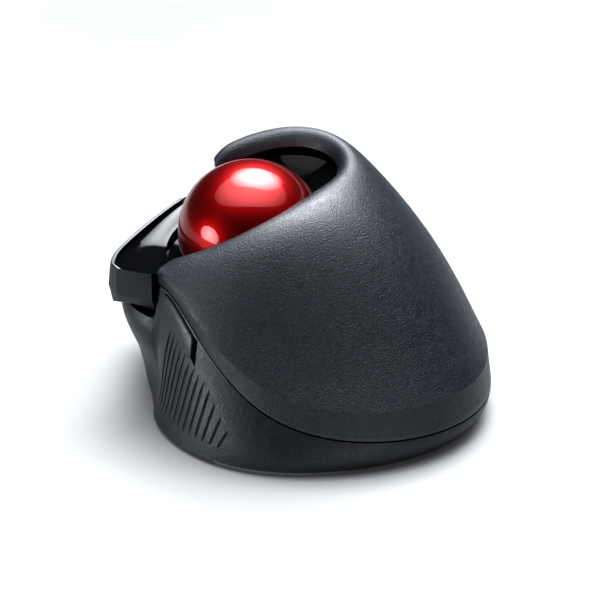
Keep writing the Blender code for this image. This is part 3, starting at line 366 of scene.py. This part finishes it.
RECIPES = {
    "grained_black": dict(rgb=(0.0035, 0.0050, 0.0080), rough=0.45, grain=(0.36, 0.070), fine=(0.18, 0.060),
                          specular=0.72, worn=0.1, pepper=6.0),
    "satin_black": dict(rgb=(0.005, 0.007, 0.0105), rough=0.44, grain=(0.38, 0.05), fine=(0.20, 0.03),
                        specular=0.6, worn=0.1, pepper=3.0),
    "gloss_black": dict(rgb=(0.004, 0.0045, 0.0055), rough=0.07, fine=(4.0, 0.0012), spread=0.02,
                        worn=0.05, specular=0.2),
    "satin_slate": dict(rgb=(0.011, 0.014, 0.020), rough=0.40, fine=(0.12, 0.01), specular=0.6, worn=0.1),
    "ball_red": dict(rgb=(0.22, 0.0025, 0.0035), rough=0.42, spread=0.02, metallic=0.94, coat=0.75,
                     flakes=0.35, worn=0.0, patch=20.0),
    "cup_plastic": dict(rgb=(0.03, 0.03, 0.033), rough=0.5, fine=(0.3, 0.03)),
    "zirconia": dict(rgb=(0.86, 0.86, 0.84), rough=0.16, coat=0.6, worn=0.0, spread=0.03),
    "clear_lens": dict(rgb=(0.80, 0.85, 0.90), rough=0.05, transmission=0.8, alpha=0.5, spread=0.02),
    "chip_black": dict(rgb=(0.02, 0.02, 0.022), rough=0.45, fine=(0.1, 0.01)),
    "board_green": dict(rgb=(0.02, 0.16, 0.07), rough=0.35, fine=(1.2, 0.02), coat=0.5, coat_rough=0.15),
    "steel": dict(rgb=(0.62, 0.63, 0.65), rough=0.25, metallic=1.0, fine=(0.4, 0.006)),
    "cell_wrap": dict(rgb=(0.10, 0.11, 0.13), rough=0.32, metallic=0.4, coat=0.5, fine=(3.0, 0.01)),
    "rubber": dict(rgb=(0.028, 0.029, 0.031), rough=0.72, fine=(0.15, 0.03), specular=0.4),
    "switch_black": dict(rgb=(0.025, 0.025, 0.028), rough=0.45, fine=(0.2, 0.015)),
    "foot_grey": dict(rgb=(0.17, 0.18, 0.19), rough=0.5, fine=(0.3, 0.02), sheen=0.1),
}
LOOKS = {name: plastic(name, **recipe) for name, recipe in RECIPES.items()}
for entry in frame["record"]["subparts"]:
    shown = frame["nodes"][entry["node"]]
    shown.data.materials.clear()
    shown.data.materials.append(LOOKS[entry["material_slot"]])


# ---------------------------------------------------------------- pieces

def build(name, verts, faces, look=None, smooth=40.0):
    """A closed mesh from millimetres; with look None it gets no material, for use as a cutter."""
    mesh = bpy.data.meshes.new(name)
    mesh.from_pydata([tuple(Vector(p) * MM + SHIFT) for p in np.asarray(verts, float)], [], faces)
    bm = bmesh.new()
    bm.from_mesh(mesh)
    bmesh.ops.recalc_face_normals(bm, faces=bm.faces[:])
    if bm.calc_volume(signed=True) < 0:
        bmesh.ops.reverse_faces(bm, faces=bm.faces[:])
    bm.to_mesh(mesh)
    bm.free()
    obj = bpy.data.objects.new(name, mesh)
    bpy.context.scene.collection.objects.link(obj)
    for face in mesh.polygons:
        face.use_smooth = True
    mesh.set_sharp_from_angle(angle=radians(smooth))
    if look:
        mesh.materials.append(LOOKS[look])
    return obj


def loft(name, sections, look=None, ring=False, strip_caps=False, **more):
    """A skin over closed sections; strip_caps closes each end by strips between its outer and inner line."""
    sections = [np.asarray(s, float) for s in sections]
    count, size = len(sections), len(sections[0])
    verts = np.concatenate(sections)
    faces = []
    for i in range(count if ring else count - 1):
        a, b = i * size, ((i + 1) % count) * size
        for j in range(size):
            k = (j + 1) % size
            faces.append((a + j, a + k, b + k, b + j))
    if not ring:
        for a in (0, (count - 1) * size):
            if strip_caps:
                for j in range(size // 2 - 1):
                    faces.append((a + j, a + j + 1, a + size - 2 - j, a + size - 1 - j))
            else:
                faces.append(tuple(a + j for j in range(size)))
    return build(name, verts, faces, look, **more)


def carve(target, *cutters):
    """Cut bodies out of a piece and drop them."""
    for cutter in cutters:
        mod = target.modifiers.new(cutter.name, 'BOOLEAN')
        mod.operation = 'DIFFERENCE'
        mod.solver = 'EXACT'
        mod.object = cutter
    settle(target)
    for cutter in cutters:
        bpy.data.objects.remove(cutter, do_unlink=True)


def settle(obj):
    """Apply the modifiers."""
    graph = bpy.context.evaluated_depsgraph_get()
    mesh = bpy.data.meshes.new_from_object(obj.evaluated_get(graph))
    obj.modifiers.clear()
    obj.data = mesh


def soften(obj, width, segments=3, angle=35.0, smooth=50.0):
    """Round the hard edges."""
    mod = obj.modifiers.new("round", 'BEVEL')
    mod.width = width * MM
    mod.segments = segments
    mod.limit_method = 'ANGLE'
    mod.angle_limit = radians(angle)
    mod.use_clamp_overlap = True
    settle(obj)
    for face in obj.data.polygons:
        face.use_smooth = True
    obj.data.set_sharp_from_angle(angle=radians(smooth))


def carry(obj, body, slot, *nodes):
    """Put a finer piece on its body in place of the plain nodes."""
    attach(obj, body)
    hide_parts(*nodes)


def crowd(count, *tight):
    """Sample positions 0..count, closer together in the given spans."""
    grid = [np.linspace(0, count, count * 5 + 1)]
    for low, high in tight:
        grid.append(np.linspace(low, high, int((high - low) * 12) + 1))
    return np.unique(np.round(np.concatenate(grid), 4))


# The palm's stations, with a crisper corner at the lip's left end and a crease sharpened by tripled points.
CORNER = [(20.6, 37.3), (21.0, 38.3), (22.6, 38.4), (24.2, 38.0), (25.6, 37.6), (26.5, 37.3), (27.1, 37.0),
          (27.4, 36.7)]
BESIDE_CORNER = [(27.4, 37.7), (28.1, 37.1), (28.4, 36.5)]
CREASE = 7
palm_net = net(PALM)
creased = palm_net.copy()
creased[0, :CREASE + 1, 1:] = CORNER
creased[1, CREASE - 2:CREASE + 1, 1:] = BESIDE_CORNER
creased[2:, CREASE, 1] -= CREASE_INSET
creased = np.insert(creased, [CREASE, CREASE], creased[:, [CREASE]], axis=1)
base_net = net(BASE)
SEAM = np.array([spline(palm_net, t)[-1] for t in np.linspace(0, len(PALM) - 1, 561)])
TURNS = np.array([spline(base_net, t, True)[0, 0] for t in np.linspace(0, len(BASE), 1041)])


def base_point(angle, s):
    """A point on the base's outer face, `s` from 0 at the top edge to 4 at the bottom."""
    angle = angle if angle >= TURNS[0] else angle + 360.0
    angle = angle if angle <= TURNS[-1] else angle - 360.0
    t = np.interp(angle, TURNS, np.linspace(0, len(BASE), len(TURNS)))
    point = spline(spline(base_net, min(t, len(BASE) - 1e-6), True), s)
    return np.array([angle, point[1], point[2]])


def base_at_height(angle, z, out=0.0):
    """The base's outer face at a height."""
    line = np.array([base_point(angle, s) for s in np.linspace(0, 4, 33)])
    return np.array([angle, np.interp(-z, -line[:, 2], line[:, 1]) + out, z])


# Palm shell.
palm_samples = crowd(10, (0, 2.2), (6.2, 10))
lip = int(np.searchsorted(palm_samples, 2.0))
sections = []
for t in np.linspace(0, len(PALM) - 1, (len(PALM) - 1) * 9 + 1):
    outer = profile(creased, t, palm_samples)
    inner = thicken(outer, WALL)
    inner[-1, 2] = outer[-1, 2]
    start = outer[0] + np.array([0, *LIP_STEP])
    for i in range(lip):
        inner[i] = start + (inner[lip] - start) * i / lip
    sections.append(polar(np.concatenate([outer, inner[::-1]])))
palm = loft("palm_cover", sections, "grained_black", strip_caps=True)
soften(palm, 0.3, angle=50.0)
carry(palm, "body", "grained_black", "palm_shell")

# Base shell. Where the palm shell is above it, its top edge runs SEAM_GAP below the palm's seam.
base_samples = np.linspace(0, 4, 29)
fade = np.interp(base_samples, [0, 0.5, 1.2, 2.2], [1.0, 0.6, 0.2, 0.0])[:, None]
sections = []
for t in np.arange(0, len(BASE), 1 / 7):
    outer = profile(base_net, t, base_samples, True)
    outer[:, 1] -= BASE_INSET
    angle = outer[0, 0]
    under = np.clip((angle - 145.9) / 0.6, 0, 1) * np.clip((372.5 - angle) / 0.4, 0, 1)
    top = np.array([np.interp(angle, SEAM[:, 0], SEAM[:, k]) for k in (1, 2)]) - (0, SEAM_GAP)
    outer[:, 1:] += fade * under * (top - outer[0, 1:])
    inner = thicken(outer, WALL)
    inner[0, 2] = outer[0, 2]
    inner[-1, 2] = outer[-1, 2]
    sections.append(polar(np.concatenate([outer, inner[::-1][::4]])))
base = loft("base_cover", sections, "satin_black", ring=True)


# Its grip grooves, side button slot and wheel slot.
def groove_loops(number, steps=13, sides=10):
    """Rings of points along one grip groove; each is longer and leans more than the one before it."""
    top = np.array([188.4 - 2.45 * number, min(8.8 + 2.5 * number, 13.4 + 1.05 * number)])
    low = np.array([185.0 - 2.85 * number, max(4.4 - 0.12 * number, 3.2)])
    loops = []
    for k in range(steps):
        u = k / (steps - 1)
        angle, height = top + (low - top) * u
        centre = polar(base_at_height(angle, height, 0.1))
        out = Vector((centre[0], centre[1], 0)).normalized()
        side = Vector((-out.y, out.x, 0))
        width = GROOVE_R * min(1.0, 0.4 + 4 * min(u, 1 - u))
        loops.append([])
        for j in range(sides):
            a = 2 * pi * j / sides
            loops[-1].append(tuple(Vector(centre) + side * width * cos(a) + out * width * 1.5 * sin(a)))
    return loops


verts, faces = [], []
for number in range(RIB_COUNT):
    loops = groove_loops(number)
    first, sides = len(verts), len(loops[0])
    for loop in loops:
        verts += loop
    for a in range(first, len(verts) - sides, sides):
        b = a + sides
        for j in range(sides):
            faces.append((a + j, a + (j + 1) % sides, b + (j + 1) % sides, b + j))
    faces.append(tuple(first + j for j in range(sides)))
    faces.append(tuple(len(verts) - sides + j for j in range(sides)))
grooves = build("grooves", verts, faces)


def side_button_rows(grow, count, face=0.5, depth=-2.4, tail=0.0):
    """Sections of the side button, or with grow and tail of the slot that it sits in."""
    rows = []
    for i in range(count):
        u = i / (count - 1)
        angle = 152.0 - grow * 0.9 + (20.0 + grow * 1.8 + tail) * u
        top = base_point(angle, 0.0)[2] - 1.0 + grow
        low = top - (2.2 + 2.6 * u) - 2 * grow
        rows.append(polar([base_at_height(angle, top, face), base_at_height(angle, low, face),
                           base_at_height(angle, low, depth), base_at_height(angle, top, depth)]))
    return rows


def block(name, x, y, z):
    """A box between pairs of limits."""
    return loft(name, [[(x[0], y[0], h), (x[1], y[0], h), (x[1], y[1], h), (x[0], y[1], h)] for h in z])


wheel_slot = block("wheel_slot", (WHEEL[0] - SLOT_HALF, WHEEL[0] + SLOT_HALF), SLOT_Y, SLOT_Z)
carve(base, grooves, wheel_slot, loft("side_slot", side_button_rows(0.35, 17, tail=1.8)))
base.data.set_sharp_from_angle(angle=radians(32.0))
carry(base, "body", "satin_black", "base_shell")

# Side button.
side = loft("side_key", side_button_rows(0.0, 25), "satin_slate", smooth=30.0)
soften(side, 0.35, angle=40.0)
carry(side, "side_button", "satin_slate", "side_button")


# Left button: a glossy dished top, satin rim, front face and undercut.
# How far across it and how high up its rise the dish's points lie.
DISH = [(0.0, 0.0), (0.22, 0.05), (0.45, 0.12), (0.65, 0.23), (0.80, 0.38), (0.90, 0.62)]
RIM_POINTS = range(7, 13)    # the points of a section whose faces are satin


def left_section(inner, rim, k):
    """The section at station k: inner lower corner, dish, rim, front face and underside, in that order."""
    across = (rim - inner) * (1, 1, 0)
    length = np.linalg.norm(across)
    w = across / length
    rise = rim[2] - inner[2]
    near = max(0.0, 1.0 - k)
    front = 31.0 - 1.4 * near
    under = float(np.interp(k, [0, 1, 2, 3], [29.3, 26.8, 26.8, 28.0]))
    back = float(np.interp(k, [0, 1, 2, 3], [28.8, 26.0, 26.4, 31.0])) if k < 3 else inner[2] - 1.6
    middle = under if k < 2 else float(np.interp(k, [2, 3], [under, 30.0]))

    def at(point, z):
        return np.array([point[0], point[1], z])

    dish = [at(inner + w * length * f, inner[2] + g * rise) for f, g in DISH]
    return [at(inner, back)] + dish + [
        at(rim - w * 1.0, rim[2] - 0.1), at(rim - w * 0.3, rim[2]), at(rim + w * 0.05, rim[2] - 0.4),
        at(rim + w * (0.7 - 0.3 * near), front), at(rim - w * 0.2, under), at(rim - w * 3.0, under),
        at(inner + w * length * 0.5, middle)]


inner_line = np.array([p[0] for p in LEFT_RIM], float)
rim_line = np.array([p[1] for p in LEFT_RIM], float)


def through(line, k):
    """A smooth curve through the points."""
    i = min(int(k), len(line) - 2)
    u = k - i
    a, b, c, d = (line[min(max(i + n, 0), len(line) - 1)] for n in (-1, 0, 1, 2))
    square = (2 * a - 5 * b + 4 * c - d) * u * u
    cube = (3 * b - a - 3 * c + d) * u ** 3
    return 0.5 * (2 * b + (c - a) * u + square + cube)


last_stop = len(LEFT_RIM) - 1
stops = np.concatenate([[0.0, 1.0], np.linspace(1.0, last_stop, 43)[1:]])
sections = [left_section(through(inner_line, k), through(rim_line, k), k) for k in stops]
left = loft("left_key", sections, "gloss_black", smooth=24.0)
left.data.materials.append(LOOKS["satin_slate"])
for number, face in enumerate(left.data.polygons):
    strip, j = divmod(number, len(sections[0]))
    capped = strip >= len(sections) - 1
    if capped or j in RIM_POINTS or strip == 0 and j >= RIM_POINTS[0]:
        face.material_index = 1
soften(left, 0.28, segments=2, angle=22.0, smooth=30.0)
carry(left, "left_button", "gloss_black", "left_button")

# Right button.
right_net = net(RIGHT)
right_samples = crowd(6)
sections = []
for t in np.linspace(0, len(RIGHT) - 1, 19):
    outer = profile(right_net, t, right_samples)
    inner = thicken(outer, BUTTON_WALL)
    inner[-1] = outer[-1] - np.array([0, BUTTON_WALL, 0])
    inner[0] = outer[0] + np.array([0, 0.6, -1.7])
    sections.append(polar(np.concatenate([outer, inner[::-1]])))
right = loft("right_key", sections, "gloss_black", strip_caps=True)
soften(right, 0.25, angle=45.0)
carry(right, "right_button", "gloss_black", "right_button")

# Ring round the ball.
rows = []
for angle, outer, middle, low in BEZEL:
    low_r = sqrt((BALL_R + RING_GAP) ** 2 - (low - BALL_Z) ** 2)
    rows.append([(angle, outer[0], outer[1]), (angle, middle[0], middle[1]), (angle, low_r, low)])
bezel_net = np.array(rows, float)
sections = []
for t in np.arange(0, len(BEZEL), 1 / 8):
    outer = profile(bezel_net, t, np.linspace(0, 2, 13), True)
    inner = outer.copy()
    inner[:, 2] -= RING_DEPTH
    inner[:, 1] += np.linspace(0.0, 0.6, 13)
    sections.append(polar(np.concatenate([outer, inner[::-1]])))
bezel = loft("ball_ring", sections, "gloss_black", ring=True, smooth=60.0)
carry(bezel, "body", "gloss_black", "ball_bezel")

# Ball.
SEGMENTS, RINGS = 128, 64
verts, faces = [(0, 0, BALL_Z - BALL_R)], []
for j in range(1, RINGS):
    b = -pi / 2 + pi * j / RINGS
    for i in range(SEGMENTS):
        a = 2 * pi * i / SEGMENTS
        verts.append((BALL_R * cos(b) * cos(a), BALL_R * cos(b) * sin(a), BALL_Z + BALL_R * sin(b)))
verts.append((0, 0, BALL_Z + BALL_R))
last = 1 + (RINGS - 2) * SEGMENTS
for i in range(SEGMENTS):
    k = (i + 1) % SEGMENTS
    faces += [(0, 1 + k, 1 + i), (last + i, last + k, len(verts) - 1)]
    for j in range(RINGS - 2):
        a = 1 + j * SEGMENTS
        faces.append((a + i, a + k, a + SEGMENTS + k, a + SEGMENTS + i))
globe = build("red_ball", verts, faces, "ball_red", smooth=80.0)
carry(globe, "ball", "ball_red", "trackball")

# Ribbed tyre.
TYRE_STEPS = 240
rings = []
for i in range(TYRE_STEPS):
    a = 2 * pi * i / TYRE_STEPS
    tread = WHEEL_R - 0.45 * max(0.0, cos(RIBS_ON_WHEEL * a)) ** 3
    half = [(TYRE_INNER_R, 2.9), (tread - 0.6, 2.9), (tread - 0.2, 2.75), (tread, 2.3)]
    loop = [(r, -h) for r, h in half] + half[::-1]
    rings.append([(WHEEL[0] + h, WHEEL[1] + r * cos(a), WHEEL[2] + r * sin(a)) for r, h in loop])
tyre = loft("ribbed_tyre", rings, "rubber", ring=True, smooth=45.0)
carry(tyre, "wheel", "rubber", "wheel_tyre")


# ---------------------------------------------------------------- studio

AIM = Vector((0.0, 0.0, 0.03))
AWAY = Vector((0.966, 0.259, 0.0))           # level, from the viewer to the mouse
ACROSS = Vector((0.259, -0.966, 0.0))        # level, to the viewer's right


def aloft(turn, sideways, distance):
    """A place round the mouse: turn 0 is level on the viewer's side, 90 overhead and 180 beyond."""
    arc = Vector((0, 0, sin(radians(turn)))) - AWAY * cos(radians(turn))
    return AIM + distance * (ACROSS * sideways + arc * sqrt(1 - sideways * sideways))


def panel(name, at, size, power, colour, spread):
    """An oval soft light aimed at the mouse, in metres and watts."""
    data = bpy.data.lights.new(name, 'AREA')
    data.shape = 'ELLIPSE'
    data.size, data.size_y = size
    data.energy = power
    data.color = colour
    data.spread = radians(spread)
    lamp = bpy.data.objects.new(name, data)
    lamp.location = at
    lamp.rotation_euler = (AIM - at).to_track_quat('-Z', 'Y').to_euler()
    bpy.context.scene.collection.objects.link(lamp)


# name, place, size, power, colour, spread
PANELS = [
    ("back_sweep", aloft(121, 0.10, 0.95), (1.5, 0.80), 6.2, (0.94, 0.97, 1.0), 58.0),
    ("overhead", aloft(98, 0.0, 1.02), (2.2, 1.3), 10.0, (0.95, 0.975, 1.0), 104.0),
    ("left_soft", aloft(14, -0.92, 0.90), (0.56, 0.36), 0.42, (0.95, 0.97, 1.0), 50.0),
    ("low_front", aloft(6, 0.36, 0.95), (0.34, 0.12), 0.25, (0.95, 0.97, 1.0), 90.0),
]
for entry in PANELS:
    panel(*entry)

FLOOR_HALF = 3.0
floor_mesh = bpy.data.meshes.new("floor")
corners = [(-FLOOR_HALF, -FLOOR_HALF, 0), (FLOOR_HALF, -FLOOR_HALF, 0),
           (FLOOR_HALF, FLOOR_HALF, 0), (-FLOOR_HALF, FLOOR_HALF, 0)]
floor_mesh.from_pydata(corners, [], [(0, 1, 2, 3)])
floor = bpy.data.objects.new("floor", floor_mesh)
bpy.context.scene.collection.objects.link(floor)
floor_mesh.materials.append(plastic("pale_floor", (0.26, 0.26, 0.263), 0.7, fine=(3.0, 0.02), spread=0.04,
                                    patch=300.0, worn=0.0, specular=0.2))
FAINT = 0.03                                 # glow of the floor and of the room
glow = floor_mesh.materials[0].node_tree.nodes["Principled BSDF"]
glow.inputs["Emission Color"].default_value = (1.0, 1.0, 1.0, 1.0)
glow.inputs["Emission Strength"].default_value = FAINT
bpy.context.scene.view_settings.view_transform = 'Standard'
bpy.context.scene.view_settings.look = 'High Contrast'

world = bpy.data.worlds.new("studio")
bpy.context.scene.world = world
world.use_nodes = True
room = world.node_tree.nodes["Background"]
room.inputs["Color"].default_value = (0.93, 0.95, 1.0, 1.0)
room.inputs["Strength"].default_value = FAINT

CAMERA_AT = Vector((-447.7, -131.7, 268.1)) * MM + SHIFT
BACK = Vector((-0.8529, -0.2285, 0.4695))    # 75 degrees from the rear round to the left, and 28 up
eye = bpy.data.cameras.new("eye")
eye.lens = 134.5
eye.sensor_width = 36.0
eye.clip_start = 0.01
eye.clip_end = 20.0
camera = bpy.data.objects.new("eye", eye)
camera.location = CAMERA_AT
camera.rotation_euler = (-BACK).to_track_quat('-Z', 'Y').to_euler()
bpy.context.scene.collection.objects.link(camera)
bpy.context.scene.camera = camera
